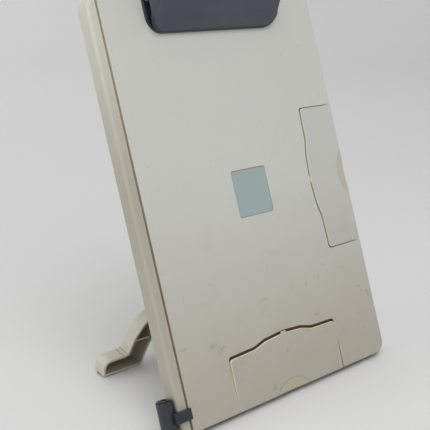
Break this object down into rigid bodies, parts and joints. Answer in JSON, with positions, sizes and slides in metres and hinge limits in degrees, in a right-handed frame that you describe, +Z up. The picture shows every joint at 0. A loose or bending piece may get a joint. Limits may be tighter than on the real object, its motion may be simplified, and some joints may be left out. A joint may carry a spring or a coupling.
{
  "type": "copyholder",
  "caption": "Desktop document holder: a leaning plastic board with a sprung top clip, two fold-out page flaps, a rail slider and a folding easel leg.",
  "frame": {"origin": "on the desk, under the middle of the whole object as it stands open", "axes": "+Z up, +X to the right as the reader sees the board, +Y away from the reader, towards the leg"},
  "size_m": [0.2462, 0.1404, 0.3293],
  "materials": {
    "shell": "fine matt moulded ABS, warm grey, slightly yellowed",
    "clip": "satin moulded slate grey",
    "slider": "satin moulded dark slate",
    "label": "satin film, pale grey-green",
    "rubber": "matt black rubber",
    "steel": "drawn steel wire and strip",
    "screw": "zinc plated"
  },
  "bodies": {
    "board": {"front_panel": "shell", "rear_shell": "shell", "label_plate": "label", "board_foot_pads": "rubber", "shell_screws": "screw", "clip_base": "clip", "clip_base_screws": "screw", "clip_hinge_pin": "steel", "clip_spring_left": "steel", "clip_spring_right": "steel", "ledge_hinge_pin": "steel", "side_hinge_pin": "steel", "leg_hinge_pin": "steel", "leg_bearing_cap_left": "shell", "leg_bearing_cap_right": "shell", "leg_cap_screws": "screw", "leg_detent_spring": "steel"},
    "clip": {"clip_lever": "clip", "clip_grip_strip": "rubber"},
    "page_ledge": {"page_ledge_flap": "shell"},
    "side_flap": {"side_page_flap": "shell"},
    "slider": {"slider_body": "slider", "slider_shoe": "slider", "slider_leaf_spring": "steel"},
    "socket": {"guide_socket": "slider"},
    "leg": {"easel_leg": "shell", "leg_foot_pads": "rubber"}
  },
  "joints": [
    {"name": "clip_open", "type": "hinge", "parent": "board", "child": "clip", "pos_m": [0.0061, 0.02563, 0.30806], "axis": [-1, 0, 0], "range_deg": [0, 25], "stiffness_Nm_per_rad": 0.25, "springref_deg": -34.38, "deforming": ["clip_spring_left", "clip_spring_right"]},
    {"name": "ledge_fold", "type": "hinge", "parent": "board", "child": "page_ledge", "pos_m": [0.0068, -0.06531, 0.0068], "axis": [1, 0, 0], "range_deg": [-2.2, 87.8]},
    {"name": "side_fold", "type": "hinge", "parent": "board", "child": "side_flap", "pos_m": [0.1191, -0.01484, 0.15504], "axis": [0, 0.3223, 0.9466], "range_deg": [0, 90]},
    {"name": "slider_travel", "type": "slide", "parent": "board", "child": "slider", "axis": [0, 0.3223, 0.9466], "range_m": [0, 0.28]},
    {"name": "socket_swivel", "type": "hinge", "parent": "slider", "child": "socket", "pos_m": [-0.1172, -0.06035, 0.01673], "axis": [0, 0.3223, 0.9466], "range_deg": [0, 110]},
    {"name": "leg_fold", "type": "hinge", "parent": "board", "child": "leg", "pos_m": [0.0051, 0.01018, 0.19659], "axis": [-1, 0, 0], "range_deg": [0, 34.1]}
  ]
}
